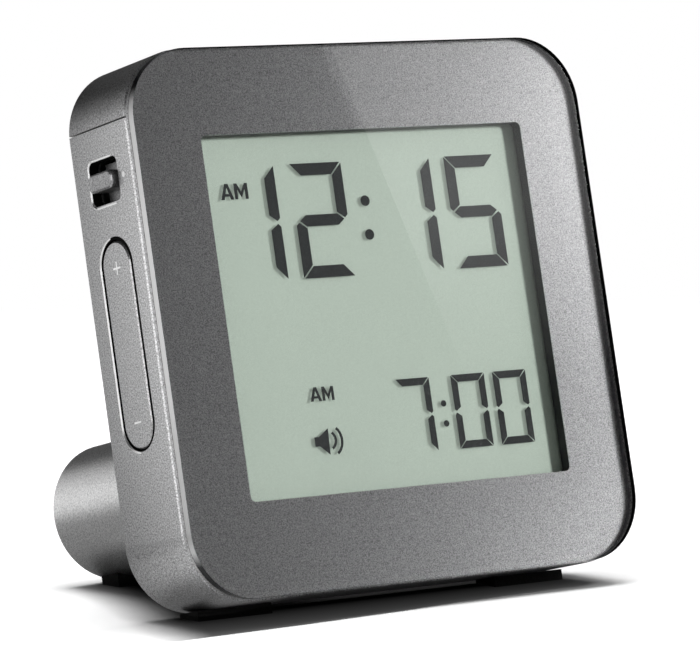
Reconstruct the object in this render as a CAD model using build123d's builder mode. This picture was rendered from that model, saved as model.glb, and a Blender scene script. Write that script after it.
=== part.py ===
from build123d import *
import os
from math import atan2, cos, sin

# Radio-controlled alarm clock: a square LCD clock that leans back on a round battery tube.
# All sizes are in millimetres. "Depth" is measured back from the front of the lens, "up" from
# the middle of the face along the face, and X to the right as the reader of the clock sees it.

os.makedirs("parts", exist_ok=True)

# Square front and case
face_size = 75.0
corner_r = 9.5
case_step = 0.2
case_wall = 1.8
reveal = 0.1
lens_t = 1.4
lens_edge = 0.15
mask_t = 0.1
mask_side = 0.6
lip_t = 0.4
edge_soft = 0.25
fit = 0.15

# Display window, LCD glass and light guide
bezel_left = 11.0
bezel_right = 10.0
bezel_top = 11.95
bezel_low = 12.95
win_r = 0.8
lcd_recess = 1.7
lcd_margin_x = 2.25
lcd_margin_up = 2.5
lcd_ledge = 2.5
lcd_t = 1.8
frame_lap = 0.4
guide_t = 1.4
guide_inset = 1.3
zebra_gap = 2.5
led_w = 2.0
led_h = 4.0

# Top bar that is pressed for snooze and light
bar_h = 9.1
bar_gap = 0.2
bar_travel = 0.15
bar_clear = 0.2
deck_drop = 0.6
deck_t = 1.8
seat_w = 0.6
hook_inset = 10.9
hook_w = 4.0
hook_t = 2.4
hook_room = 0.3
barb = 0.8
barb_h = 1.0
ram_w = 3.0
tact_room = 0.2

# Main board
board_gap = 1.6
board_t = 1.0
rear_room = 6.2
board_side_gap = 1.7
board_floor_gap = 4.4
board_top_gap = 2.5
board_tab_h = 9.0
post_r = 2.2
post_edge = 1.3
post_low_gap = 8.7
post_high_gap = 8.0
board_screw_r = 0.9
board_head_r = 1.9
board_head_t = 1.2
board_screw_len = 2.0
screw_fit = 0.05

# Controls on the left side, all on one centre line
side_front = 7.2
side_room = 6.3
side_board_t = 1.0
side_board_lap = 2.85
slot_drop = 7.4
slot_r = 1.0
knob_w = 6.1
knob_h = 2.5
knob_r = 0.9
knob_proud = 0.9
knob_side = 0.55
knob_travel = 1.6
knob_end = 0.2
carrier_w = 4.8
carrier_h = 5.2
carrier_t = 1.0
slide_gap = 0.15
slide_body_h = 8.0
slide_body_w = 4.0
fork_w = 1.2
fork_gap = 0.3
fork_deep = 1.0
rocker_drop = 4.9
rocker_lift = 22.05
rocker_w = 7.6
rocker_gap = 0.25
rocker_t = 1.8
rocker_lug_w = 3.4
rocker_lug_h = 2.8
rocker_pin_r = 0.8
rocker_pin_in = 3.2
rocker_pin_fit = 0.1
saddle_ear = 1.0
saddle_gap = 0.3
saddle_base_t = 1.0
nib_inset = 4.45
nib_r = 1.2
nib_len = 1.5
side_tact_size = 4.5
plunger_r = 1.0
plunger_len = 1.0
nib_room = 0.45

# Rear cover and its controls
boss_r = 3.2
boss_inset = 6.2
top_boss_r = 2.6
top_boss_inset = 15.9
boss_gap = 1.6
case_screw_r = 1.1
case_head_r = 2.3
case_head_t = 1.1
alarm_inset = 17.9
alarm_drop = 9.7
alarm_travel = 2.4
alarm_stub = 2.2
alarm_proud = 0.6
alarm_room = 0.3
alarm_plate_t = 1.0
sync_pitch = 12.0
sync_r = 1.6
sync_gap = 0.3
sync_flange = 1.0
sync_flange_t = 0.9
sync_travel = 0.3
sync_tact_size = 4.5
buzzer_inset = 19.9
buzzer_drop = 24.2
buzzer_r = 8.0
buzzer_gap = 2.8
buzzer_wall = 1.0
slit_w = 1.0
slit_h = 8.0
slit_pitch = 2.4
slit_count = 5

# Battery tube, AAA cell and cap
tube_inset = 21.8
tube_lift = 17.7
tube_wall = 1.6
flange_lap = 2.2
flange_t = 1.5
cell_r = 5.25
cell_len = 44.5
nub_r = 1.9
nub_len = 0.9
holder_gap = 0.25
holder_wall = 1.3
holder_back_gap = 1.2
contact_t = 0.3
contact_r = 4.5
contact_tab = 3.0
leaf_len = 1.0
strip_w = 3.0
cap_end = 1.5
tube_edge = 0.6
plug_len = 6.0
plug_wall = 0.6
plug_gap = 0.2
plug_room = 1.4
coin_w = 1.8
coin_len = 12.0
coin_deep = 0.7

# Feet and radio aerial
foot_gap = 0.35
pad_inset = 12.7
pad_w = 12.0
pad_len = 4.5
pad_back = 1.0
tube_pad_w = 7.0
tube_pad_len = 4.5
tube_pad_back = 1.0
rod_inset = 4.9
rod_r = 2.4
rod_low_gap = 6.3
rod_high_gap = 2.3
coil_r = 2.9
coil_end = 10.0
cradle_end = 4.0
cradle_t = 2.0
cradle_w = 6.4

# Chip and quartz on the main board
chip_side = 19.9
chip_rise = 12.0
chip_r = 5.0
chip_t = 1.4
quartz_rise = 2.0
quartz_r = 1.0
quartz_len = 6.0

# Places along the depth, front to back
mask_front = lens_t
frame_front = mask_front + mask_t
rim = frame_front + lip_t + reveal
lcd_front = frame_front + lcd_recess
guide_front = lcd_front + lcd_t
guide_back = guide_front + guide_t
frame_back = guide_front + frame_lap
deck_front = guide_back + fit
board_front = guide_back + board_gap
board_back = board_front + board_t
cover_front = board_back + rear_room
case_back = cover_front + case_wall
cell_back = board_front + cell_len
cap_inner = cell_back + leaf_len
tube_end = cap_inner + cap_end

# Outlines shared by the case and what fits inside it
case_w = face_size + 2 * case_step
case_half = case_w / 2
case_r = corner_r + case_step
inner_w = case_w - 2 * case_wall
inner_half = inner_w / 2
inner_r = case_r - case_wall
seat_open = inner_w - 2 * seat_w
seam = case_half - bar_h
bar_low = seam + bar_gap
deck_top = seam - deck_drop
deck_low = deck_top - deck_t
win_w = face_size - bezel_left - bezel_right
win_h = face_size - bezel_top - bezel_low
win_x = (bezel_left - bezel_right) / 2
win_up = (bezel_low - bezel_top) / 2
lcd_w = win_w + 2 * lcd_margin_x
lcd_h = win_h + 2 * lcd_margin_up
frame_w = inner_w - 2 * fit
frame_top_gap = bar_travel + bar_clear
frame_h = inner_w - fit - frame_top_gap
frame_mid = (fit - frame_top_gap) / 2

# Side controls, below the seam of the top bar
side_mid = rim + side_front
side_board_x = inner_half - side_room
slot_w = knob_w + 2 * knob_side
slot_h = knob_h + 2 * (knob_travel + knob_end)
slot_up = seam - slot_drop
rocker_top = slot_up - slot_h / 2 - rocker_drop
rocker_low = -case_half + rocker_lift
rocker_len = rocker_top - rocker_low
rocker_up = (rocker_top + rocker_low) / 2
nib_offset = rocker_len / 2 - nib_inset
side_board_low = rocker_low - side_board_lap
hook_x = inner_half - hook_inset

# Main board outline and its three posts
board_left = -side_board_x + board_side_gap
board_right = inner_half - board_side_gap
board_low = -inner_half + board_floor_gap
board_top = deck_low - board_top_gap
post_x = frame_w / 2 - post_edge - post_r
post_low = -inner_half + post_low_gap
post_high = deck_low - post_high_gap
board_posts = [(post_x, post_high), (post_x, post_low), (-post_x, post_low)]

# Controls and sound on the rear cover
alarm_x = inner_half - alarm_inset
alarm_up = deck_low - alarm_drop
sync_x = alarm_x - sync_pitch
buzzer_x = inner_half - buzzer_inset
buzzer_up = deck_low - buzzer_drop
buzzer_t = rear_room - buzzer_gap

# Rear screws: two under the deck, two in the lower corners
boss_len = rear_room - boss_gap
top_boss_x = inner_half - top_boss_inset
low_boss = case_half - boss_inset
top_boss_up = deck_low - top_boss_r + case_wall / 2
case_screws_at = [
    (top_boss_x, top_boss_up),
    (-top_boss_x, top_boss_up),
    (low_boss, -low_boss),
    (-low_boss, -low_boss),
]

# Aerial rod between a lower screw boss and the upper post
rod_x = inner_half - rod_inset
rod_low = -low_boss + boss_r + rod_low_gap
rod_high = post_high - board_head_r - rod_high_gap
rod_len = rod_high - rod_low
rod_up = (rod_low + rod_high) / 2
coil_len = rod_len - 2 * coil_end
cradle_up = rod_len / 2 - cradle_end

# Cell, sleeve and tube, one inside the other
holder_in = cell_r + holder_gap
holder_r = holder_in + holder_wall
tube_r = holder_r + plug_room + tube_wall
flange_r = tube_r + flange_lap
tube_x = -case_half + tube_inset
tube_up = -case_half + tube_lift

# The clock stands on the low rear edge of its case and the low rear edge of its tube
lean = atan2(tube_up - tube_r + case_half, tube_end - case_back)
face_up = Vector(0, sin(lean), cos(lean))
face_back = Vector(0, cos(lean), -sin(lean))
face_height = foot_gap + case_back * sin(lean) + case_half * cos(lean)
front_reach = (face_size / 2 - lens_edge) * sin(lean)
rear_reach = tube_end * cos(lean) + (tube_up + tube_r - tube_edge) * sin(lean)
face_centre = Vector(knob_proud / 2, (front_reach - rear_reach) / 2, face_height)
depth_axis = Axis(face_centre, face_back)
front_plane = Plane(origin=face_centre, x_dir=(1, 0, 0), z_dir=-face_back)


def depth_plane(depth):
    """Plane parallel to the face: sketch X to the right, sketch Y up the face."""
    return front_plane.offset(-depth)


def side_plane(x):
    """Plane parallel to the sides: sketch X to the back, sketch Y up the face."""
    return Plane(origin=face_centre + Vector(x, 0, 0), x_dir=face_back, z_dir=(1, 0, 0))


def level_plane(up):
    """Plane square to the face: sketch X to the right, sketch Y to the back."""
    return Plane(origin=face_centre + face_up * up, x_dir=(1, 0, 0), z_dir=face_up)


def floor_up(depth):
    """Height of the floor, measured up the face, under a place at this depth."""
    return (depth * sin(lean) - face_height) / cos(lean)


# Clear front lens over the whole face
with BuildPart() as front_lens:
    with BuildSketch(depth_plane(0)):
        RectangleRounded(face_size, face_size, corner_r)
    extrude(amount=-lens_t)
    chamfer(front_lens.faces().sort_by(depth_axis)[0].edges(), lens_edge)
front_lens.part.label = "front_lens"
export_step(front_lens.part, "parts/front_lens.step")

# Metallic film behind the lens, with the display window
with BuildPart() as front_mask:
    with BuildSketch(depth_plane(mask_front)):
        RectangleRounded(face_size - 2 * mask_side, face_size, corner_r)
        with Locations((win_x, win_up)):
            RectangleRounded(win_w, win_h, win_r, mode=Mode.SUBTRACT)
    extrude(amount=-mask_t)
front_mask.part.label = "front_mask"
export_step(front_mask.part, "parts/front_mask.step")

# Black frame that carries the lens in front, the LCD in its pocket and the board on its posts
with BuildPart() as front_frame:
    with BuildSketch(depth_plane(frame_front)):
        with Locations((0, frame_mid)):
            RectangleRounded(frame_w, frame_h, inner_r)
        with Locations((win_x, win_up)):
            RectangleRounded(win_w, win_h, win_r, mode=Mode.SUBTRACT)
    extrude(amount=frame_front - frame_back)
    # lip under the whole lens
    with BuildSketch(depth_plane(frame_front)):
        RectangleRounded(face_size, face_size, corner_r)
        with Locations((win_x, win_up)):
            RectangleRounded(win_w, win_h, win_r, mode=Mode.SUBTRACT)
    extrude(amount=-lip_t)
    # pocket for the LCD, posts and screw holes
    with BuildSketch(depth_plane(lcd_front)):
        with Locations((win_x, win_up)):
            Rectangle(lcd_w + 2 * fit, lcd_h + 2 * fit)
    extrude(amount=lcd_front - frame_back, mode=Mode.SUBTRACT)
    with BuildSketch(depth_plane(frame_back)):
        with Locations(*board_posts):
            Circle(post_r)
    extrude(amount=frame_back - board_front)
    with BuildSketch(depth_plane(board_front)):
        with Locations(*board_posts):
            Circle(board_screw_r + screw_fit)
    extrude(amount=board_screw_len + fit, mode=Mode.SUBTRACT)
front_frame.part.label = "front_frame"
export_step(front_frame.part, "parts/front_frame.step")

# Case: left, right and lower walls, the deck under the top bar, screw bosses and side openings
with BuildPart() as case_shell:
    with BuildSketch(depth_plane(rim)):
        RectangleRounded(case_w, case_w, case_r)
        RectangleRounded(inner_w, inner_w, inner_r, mode=Mode.SUBTRACT)
    extrude(amount=rim - case_back)
    rim_edges = case_shell.faces().sort_by(depth_axis)[0].outer_wire().edges()
    back_edges = case_shell.faces().sort_by(depth_axis)[-1].outer_wire().edges()
    chamfer(rim_edges + back_edges, edge_soft)
    with BuildSketch(level_plane(seam)):
        with Locations((0, case_back / 2)):
            Rectangle(2 * case_w, 2 * case_back)
    extrude(amount=case_w, mode=Mode.SUBTRACT)
    # deck between the side walls
    with BuildSketch(level_plane(deck_low)):
        with Locations((0, (deck_front + cover_front) / 2)):
            Rectangle(inner_w + case_wall, cover_front - deck_front)
    extrude(amount=deck_t)
    # seat for the front frame along the lower wall and corners
    with BuildSketch(depth_plane(frame_back)):
        RectangleRounded(inner_w + case_wall, inner_w + case_wall, inner_r)
        RectangleRounded(seat_open, seat_open, inner_r - seat_w, mode=Mode.SUBTRACT)
        with Locations((0, -inner_half)):
            Rectangle(2 * case_w, 2 * (inner_half - low_boss + boss_r), mode=Mode.INTERSECT)
    extrude(amount=-deck_t)
    # bosses for the rear screws
    with BuildSketch(depth_plane(cover_front)):
        with Locations(*case_screws_at[:2]):
            Circle(top_boss_r)
        with Locations(*case_screws_at[2:]):
            Circle(boss_r)
    extrude(amount=boss_len)
    with BuildSketch(depth_plane(cover_front)):
        with Locations(*case_screws_at):
            Circle(case_screw_r + screw_fit)
    extrude(amount=boss_len, mode=Mode.SUBTRACT)
    # openings in the deck for the hooks and the ram of the top bar
    with BuildSketch(level_plane(deck_low)):
        with Locations((hook_x, side_mid), (-hook_x, side_mid)):
            Rectangle(hook_w + 2 * hook_room, hook_t + 2 * hook_room)
        with Locations((0, board_back + ram_w / 2)):
            Rectangle(ram_w + 2 * hook_room, ram_w + 2 * hook_room)
    extrude(amount=deck_t, mode=Mode.SUBTRACT)
    # openings in the left wall for the slide knob and the rocker
    with BuildSketch(side_plane(-case_half)):
        with Locations((side_mid, slot_up)):
            RectangleRounded(slot_w, slot_h, slot_r)
        with Locations((side_mid, rocker_up)):
            SlotOverall(rocker_len, rocker_w, rotation=90)
    extrude(amount=case_wall, mode=Mode.SUBTRACT)
case_shell.part.label = "case_shell"
export_step(case_shell.part, "parts/case_shell.step")

# Top bar: the whole top of the case with its rounded corners, on two hooks and a ram
with BuildPart() as snooze_bar:
    with BuildSketch(depth_plane(rim)):
        RectangleRounded(case_w, case_w, case_r)
    extrude(amount=rim - case_back)
    rim_edges = snooze_bar.faces().sort_by(depth_axis)[0].outer_wire().edges()
    back_edges = snooze_bar.faces().sort_by(depth_axis)[-1].outer_wire().edges()
    chamfer(rim_edges + back_edges, edge_soft)
    with BuildSketch(depth_plane(rim)):
        RectangleRounded(inner_w, inner_w, inner_r)
    extrude(amount=rim - cover_front, mode=Mode.SUBTRACT)
    with BuildSketch(level_plane(bar_low)):
        with Locations((0, case_back / 2)):
            Rectangle(2 * case_w, 2 * case_back)
    extrude(amount=-2 * case_w, mode=Mode.SUBTRACT)
    with BuildSketch(level_plane(deck_low)):
        with Locations((hook_x, side_mid), (-hook_x, side_mid)):
            Rectangle(hook_w, hook_t)
    extrude(amount=inner_half - deck_low)
    with BuildSketch(level_plane(deck_low)):
        with Locations((hook_x, side_mid), (-hook_x, side_mid)):
            Rectangle(hook_w + 2 * barb, hook_t)
    extrude(amount=-barb_h)
    with BuildSketch(level_plane(board_top + tact_room)):
        with Locations((0, board_back + ram_w / 2)):
            Rectangle(ram_w, ram_w)
    extrude(amount=inner_half - board_top - tact_room + case_wall / 2)
snooze_bar.part.label = "snooze_bar"
export_step(snooze_bar.part, "parts/snooze_bar.step")

# Rear cover inside the walls, with openings for the tube, screws, sound and two controls
alarm_slot_w = alarm_stub + alarm_travel + 2 * alarm_room
alarm_slot_h = alarm_stub + 2 * alarm_room
with BuildPart() as rear_cover:
    with BuildSketch(depth_plane(cover_front)):
        RectangleRounded(inner_w - 2 * fit, inner_w - 2 * fit, inner_r)
        with Locations((0, seam + case_w / 2)):
            Rectangle(case_w, case_w, mode=Mode.SUBTRACT)
        with Locations((tube_x, tube_up)):
            Circle(tube_r + fit, mode=Mode.SUBTRACT)
        with Locations(*case_screws_at):
            Circle(case_screw_r + screw_fit, mode=Mode.SUBTRACT)
        with Locations((alarm_x, alarm_up)):
            Rectangle(alarm_slot_w, alarm_slot_h, mode=Mode.SUBTRACT)
        with Locations((sync_x, alarm_up)):
            Circle(sync_r + sync_gap, mode=Mode.SUBTRACT)
        with Locations((buzzer_x, buzzer_up)):
            with GridLocations(slit_pitch, slit_h, slit_count, 1):
                Rectangle(slit_w, slit_h, mode=Mode.SUBTRACT)
    extrude(amount=-case_wall)
    with BuildSketch(depth_plane(case_back)):
        with Locations(*case_screws_at):
            Circle(case_head_r + fit)
    extrude(amount=case_head_t, mode=Mode.SUBTRACT)
    # two cradles for the aerial rod
    with BuildSketch(depth_plane(cover_front)):
        with Locations((rod_x, rod_up + cradle_up), (rod_x, rod_up - cradle_up)):
            Rectangle(cradle_w, cradle_t)
    extrude(amount=(cover_front - board_back) / 2)
    with BuildSketch(level_plane(rod_up)):
        with Locations((rod_x, (cover_front + board_back) / 2)):
            Circle(rod_r + screw_fit)
    extrude(amount=rod_len / 2, both=True, mode=Mode.SUBTRACT)
rear_cover.part.label = "rear_cover"
export_step(rear_cover.part, "parts/rear_cover.step")

# Four screws through the rear cover
with BuildPart() as case_screws:
    with BuildSketch(depth_plane(case_back)):
        with Locations(*case_screws_at):
            Circle(case_head_r)
    extrude(amount=case_head_t)
    with BuildSketch(depth_plane(case_back - case_head_t)):
        with Locations(*case_screws_at):
            Circle(case_screw_r)
    extrude(amount=case_wall - case_head_t + boss_len - fit)
case_screws.part.label = "case_screws"
export_step(case_screws.part, "parts/case_screws.step")

# Round tube that holds the cell and props the clock up
with BuildPart() as battery_tube:
    with BuildSketch(depth_plane(cover_front)):
        with Locations((tube_x, tube_up)):
            Circle(tube_r)
    extrude(amount=cover_front - tube_end)
    chamfer(battery_tube.faces().sort_by(depth_axis)[-1].edges(), tube_edge)
    with BuildSketch(depth_plane(cover_front)):
        with Locations((tube_x, tube_up)):
            Circle(flange_r)
    extrude(amount=flange_t)
    with BuildSketch(depth_plane(cover_front - flange_t)):
        with Locations((tube_x, tube_up)):
            Circle(tube_r - tube_wall)
    extrude(amount=-tube_end, mode=Mode.SUBTRACT)
battery_tube.part.label = "battery_tube"
export_step(battery_tube.part, "parts/battery_tube.step")

# Sleeve for the cell inside the tube, hung on its own flange
holder_flange = cover_front - flange_t
with BuildPart() as cell_holder:
    with BuildSketch(depth_plane(board_front - 2 * contact_t)):
        with Locations((tube_x, tube_up)):
            Circle(holder_r)
    extrude(amount=board_front - 2 * contact_t - cap_inner + holder_back_gap)
    with BuildSketch(depth_plane(holder_flange)):
        with Locations((tube_x, tube_up)):
            Circle(flange_r)
    extrude(amount=flange_t)
    with BuildSketch(depth_plane(board_front - contact_t)):
        with Locations((tube_x, tube_up)):
            Circle(holder_in)
    extrude(amount=-tube_end, mode=Mode.SUBTRACT)
    # slots for the tab of the front contact and for the long strip
    with BuildSketch(depth_plane(board_front - contact_t)):
        with Locations((tube_x + holder_r, tube_up)):
            Rectangle(2 * holder_wall + 2 * holder_gap, contact_tab + 2 * fit)
    extrude(amount=-2 * contact_t, mode=Mode.SUBTRACT)
    with BuildSketch(depth_plane(holder_flange)):
        with Locations((tube_x, tube_up + holder_r + contact_t)):
            Rectangle(strip_w + 2 * fit, 2 * contact_t)
    extrude(amount=flange_t, mode=Mode.SUBTRACT)
cell_holder.part.label = "cell_holder"
export_step(cell_holder.part, "parts/cell_holder.step")

# AAA cell, its button towards the face
with BuildPart() as aaa_cell:
    with BuildSketch(depth_plane(board_front)):
        with Locations((tube_x, tube_up)):
            Circle(nub_r)
    extrude(amount=-nub_len)
    with BuildSketch(depth_plane(board_front + nub_len)):
        with Locations((tube_x, tube_up)):
            Circle(cell_r)
    extrude(amount=nub_len - cell_len)
    chamfer(aaa_cell.edges().filter_by(GeomType.CIRCLE).group_by(SortBy.RADIUS)[-1], edge_soft)
aaa_cell.part.label = "aaa_cell"
export_step(aaa_cell.part, "parts/aaa_cell.step")

# Contact at the button, with a tab soldered to the board
tab_reach = holder_r + contact_tab
with BuildPart() as front_contact:
    with BuildSketch(depth_plane(board_front - contact_t)):
        with Locations((tube_x, tube_up)):
            Circle(contact_r)
        with Locations((tube_x + tab_reach / 2, tube_up)):
            Rectangle(tab_reach, contact_tab)
    extrude(amount=-contact_t)
front_contact.part.label = "front_contact"
export_step(front_contact.part, "parts/front_contact.step")

# Strip along the sleeve that leads from the cap back to the board
strip_low = tube_up + holder_r
with BuildPart() as tube_strip:
    with BuildSketch(depth_plane(board_back)):
        with Locations((tube_x, strip_low + contact_t / 2)):
            Rectangle(strip_w, contact_t)
    extrude(amount=board_back - cap_inner + holder_back_gap)
    with BuildSketch(depth_plane(board_back)):
        with Locations((tube_x, strip_low + contact_tab / 2)):
            Rectangle(strip_w, contact_tab)
    extrude(amount=-contact_t)
tube_strip.part.label = "tube_strip"
export_step(tube_strip.part, "parts/tube_strip.step")

# Cap that closes the tube: a plug with a coin slot, flush in the end of the tube
plug_r = tube_r - tube_wall - plug_gap
with BuildPart() as battery_cap:
    with BuildSketch(depth_plane(tube_end)):
        with Locations((tube_x, tube_up)):
            Circle(plug_r)
    extrude(amount=cap_end + plug_len)
    chamfer(battery_cap.faces().sort_by(depth_axis)[-1].edges(), edge_soft)
    with BuildSketch(depth_plane(cap_inner)):
        with Locations((tube_x, tube_up)):
            Circle(plug_r - plug_wall)
    extrude(amount=plug_len, mode=Mode.SUBTRACT)
    with BuildSketch(depth_plane(tube_end)):
        with Locations((tube_x, tube_up)):
            SlotOverall(coin_len, coin_w)
    extrude(amount=coin_deep, mode=Mode.SUBTRACT)
battery_cap.part.label = "battery_cap"
export_step(battery_cap.part, "parts/battery_cap.step")

# Leaf contact inside the cap, pressed on the end of the cell
with BuildPart() as cap_contact:
    with BuildSketch(depth_plane(cap_inner)):
        with Locations((tube_x, tube_up)):
            Circle(contact_r)
    extrude(amount=contact_t)
    with BuildSketch(depth_plane(cap_inner - contact_t)):
        with Locations((tube_x, tube_up)):
            Circle(contact_r)
    extrude(amount=leaf_len - contact_t, taper=45)
cap_contact.part.label = "cap_contact"
export_step(cap_contact.part, "parts/cap_contact.step")

# Two wedge feet under the case, flat on the floor
pad_x = case_half - pad_inset
pad_rear = case_back - pad_back
pad_front = pad_rear - pad_len
for label, x in (("foot_left", -pad_x), ("foot_right", pad_x)):
    with BuildPart() as foot:
        with BuildSketch(side_plane(x)):
            with BuildLine():
                Polyline(
                    (pad_front, -case_half),
                    (pad_rear, -case_half),
                    (pad_rear, floor_up(pad_rear)),
                    (pad_front, floor_up(pad_front)),
                    close=True,
                )
            make_face()
        extrude(amount=pad_w / 2, both=True)
    foot.part.label = label
    export_step(foot.part, f"parts/{label}.step")

# Foot under the end of the tube, hollowed to sit on it
tube_pad_rear = tube_end - tube_pad_back
tube_pad_front = tube_pad_rear - tube_pad_len
with BuildPart() as foot_tube:
    with BuildSketch(side_plane(tube_x)):
        with BuildLine():
            Polyline(
                (tube_pad_front, tube_up),
                (tube_pad_rear, tube_up),
                (tube_pad_rear, floor_up(tube_pad_rear)),
                (tube_pad_front, floor_up(tube_pad_front)),
                close=True,
            )
        make_face()
    extrude(amount=tube_pad_w / 2, both=True)
    with BuildSketch(depth_plane(tube_pad_front)):
        with Locations((tube_x, tube_up)):
            Circle(tube_r)
    extrude(amount=-tube_pad_len, mode=Mode.SUBTRACT)
foot_tube.part.label = "foot_tube"
export_step(foot_tube.part, "parts/foot_tube.step")

# LCD: a front glass on a taller rear glass, whose lower ledge takes the connector
with BuildPart() as lcd_glass:
    with BuildSketch(depth_plane(lcd_front)):
        with Locations((win_x, win_up + lcd_ledge / 2)):
            Rectangle(lcd_w, lcd_h - lcd_ledge)
    extrude(amount=-lcd_t / 2)
    with BuildSketch(depth_plane(lcd_front + lcd_t / 2)):
        with Locations((win_x, win_up)):
            Rectangle(lcd_w, lcd_h)
    extrude(amount=-lcd_t / 2)
lcd_glass.part.label = "lcd_glass"
export_step(lcd_glass.part, "parts/lcd_glass.step")

# Light guide and reflector behind the LCD
guide_w = lcd_w - 2 * guide_inset
guide_h = lcd_h - lcd_ledge - guide_inset
guide_mid = win_up + (lcd_ledge - guide_inset) / 2
with BuildPart() as light_guide:
    with BuildSketch(depth_plane(guide_front)):
        with Locations((win_x, guide_mid)):
            Rectangle(guide_w, guide_h)
    extrude(amount=-guide_t)
light_guide.part.label = "light_guide"
export_step(light_guide.part, "parts/light_guide.step")

# Conductive rubber strip between the LCD ledge and the board, right of the cell
zebra_low = win_up - lcd_h / 2 + fit
zebra_h = lcd_ledge - guide_inset
zebra_left = tube_x + holder_r + zebra_gap
zebra_right = win_x + lcd_w / 2 - lcd_margin_x
with BuildPart() as zebra_strip:
    with BuildSketch(depth_plane(guide_front)):
        with Locations(((zebra_left + zebra_right) / 2, zebra_low + zebra_h / 2)):
            Rectangle(zebra_right - zebra_left, zebra_h)
    extrude(amount=guide_front - board_front)
zebra_strip.part.label = "zebra_strip"
export_step(zebra_strip.part, "parts/zebra_strip.step")

# Main board, cut out round the cell sleeve
tab_left = -post_x - post_r - fit
with BuildPart() as main_board:
    with BuildSketch(depth_plane(board_front)):
        with Locations(((board_left + board_right) / 2, (board_low + board_top) / 2)):
            Rectangle(board_right - board_left, board_top - board_low)
        with Locations(((tab_left + board_left) / 2, board_low + board_tab_h / 2)):
            Rectangle(board_left - tab_left, board_tab_h)
        with Locations((tube_x, tube_up)):
            Circle(holder_r + 2 * contact_t + fit, mode=Mode.SUBTRACT)
        with Locations(*board_posts):
            Circle(board_screw_r + fit, mode=Mode.SUBTRACT)
    extrude(amount=-board_t)
main_board.part.label = "main_board"
export_step(main_board.part, "parts/main_board.step")

# Three screws that hold the board on the frame
with BuildPart() as board_screws:
    with BuildSketch(depth_plane(board_back)):
        with Locations(*board_posts):
            Circle(board_head_r)
    extrude(amount=-board_head_t)
    with BuildSketch(depth_plane(board_back)):
        with Locations(*board_posts):
            Circle(board_screw_r)
    extrude(amount=board_t + board_screw_len)
board_screws.part.label = "board_screws"
export_step(board_screws.part, "parts/board_screws.step")

# Light for the display, at the right edge of the light guide
with BuildPart() as backlight_led:
    with BuildSketch(depth_plane(guide_front + frame_lap)):
        with Locations((win_x + guide_w / 2 + fit + led_w / 2, win_up)):
            Rectangle(led_w, led_h)
    extrude(amount=guide_front + frame_lap - board_front)
backlight_led.part.label = "backlight_led"
export_step(backlight_led.part, "parts/backlight_led.step")

# Push switch for the top bar, on the upper edge of the board
with BuildPart() as snooze_tact:
    with BuildSketch(level_plane(board_top - sync_tact_size)):
        with Locations((0, board_back + ram_w / 2)):
            Rectangle(2 * ram_w, ram_w)
    extrude(amount=sync_tact_size - plunger_len)
    with BuildSketch(level_plane(board_top - plunger_len)):
        with Locations((0, board_back + ram_w / 2)):
            Circle(plunger_r)
    extrude(amount=plunger_len)
snooze_tact.part.label = "snooze_tact"
export_step(snooze_tact.part, "parts/snooze_tact.step")

# Small board for the side controls, held between the frame and the rear cover
with BuildPart() as side_board:
    with BuildSketch(side_plane(-side_board_x)):
        with Locations(((frame_back + cover_front) / 2, (deck_low + side_board_low) / 2)):
            Rectangle(cover_front - frame_back, deck_low - side_board_low)
    extrude(amount=-side_board_t)
side_board.part.label = "side_board"
export_step(side_board.part, "parts/side_board.step")

# Slide switch on the side board, with a slot for the fork of the knob
side_face = -side_board_x - side_board_t
carrier_out = -inner_half + slide_gap
carrier_in = carrier_out + carrier_t
slide_out = carrier_in + fork_gap
with BuildPart() as mode_switch:
    with BuildSketch(side_plane(slide_out)):
        with Locations((side_mid, slot_up)):
            Rectangle(slide_body_w, slide_body_h)
    extrude(amount=side_face - slide_out)
    with BuildSketch(side_plane(slide_out)):
        with Locations((side_mid, slot_up)):
            Rectangle(fork_w + 2 * fork_gap, slot_h)
    extrude(amount=fork_deep, mode=Mode.SUBTRACT)
mode_switch.part.label = "mode_switch"
export_step(mode_switch.part, "parts/mode_switch.step")

# Knob that slides up and down in the side opening
with BuildPart() as mode_knob:
    with BuildSketch(side_plane(carrier_out)):
        with Locations((side_mid, slot_up)):
            Rectangle(carrier_w, carrier_h)
    extrude(amount=carrier_t)
    with BuildSketch(side_plane(carrier_out)):
        with Locations((side_mid, slot_up)):
            RectangleRounded(knob_w, knob_h, knob_r)
    extrude(amount=-(slide_gap + case_wall + knob_proud))
    chamfer(mode_knob.faces().sort_by(Axis.X)[0].edges(), edge_soft)
    with BuildSketch(side_plane(carrier_in)):
        with Locations((side_mid, slot_up)):
            Rectangle(fork_w, fork_w)
    extrude(amount=fork_deep)
mode_knob.part.label = "mode_knob"
export_step(mode_knob.part, "parts/mode_knob.step")

# Plus and minus rocker, flush in the left wall, turning on a pin behind its middle
pin_x = -case_half + rocker_pin_in
with BuildPart() as set_rocker:
    with BuildSketch(side_plane(-case_half)):
        with Locations((side_mid, rocker_up)):
            SlotOverall(rocker_len - 2 * rocker_gap, rocker_w - 2 * rocker_gap, rotation=90)
    extrude(amount=rocker_t)
    chamfer(set_rocker.faces().sort_by(Axis.X)[0].edges(), edge_soft)
    with BuildSketch(side_plane(-case_half + rocker_t)):
        with Locations((side_mid, rocker_up)):
            Rectangle(rocker_lug_w, rocker_lug_h)
    extrude(amount=2 * (rocker_pin_in - rocker_t))
    with BuildSketch(side_plane(-case_half + rocker_t)):
        with Locations((side_mid, rocker_up + nib_offset), (side_mid, rocker_up - nib_offset)):
            Circle(nib_r)
    extrude(amount=nib_len)
    with BuildSketch(depth_plane(side_mid)):
        with Locations((pin_x, rocker_up)):
            Circle(rocker_pin_r + rocker_pin_fit)
    extrude(amount=rocker_w, both=True, mode=Mode.SUBTRACT)
set_rocker.part.label = "set_rocker"
export_step(set_rocker.part, "parts/set_rocker.step")

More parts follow.
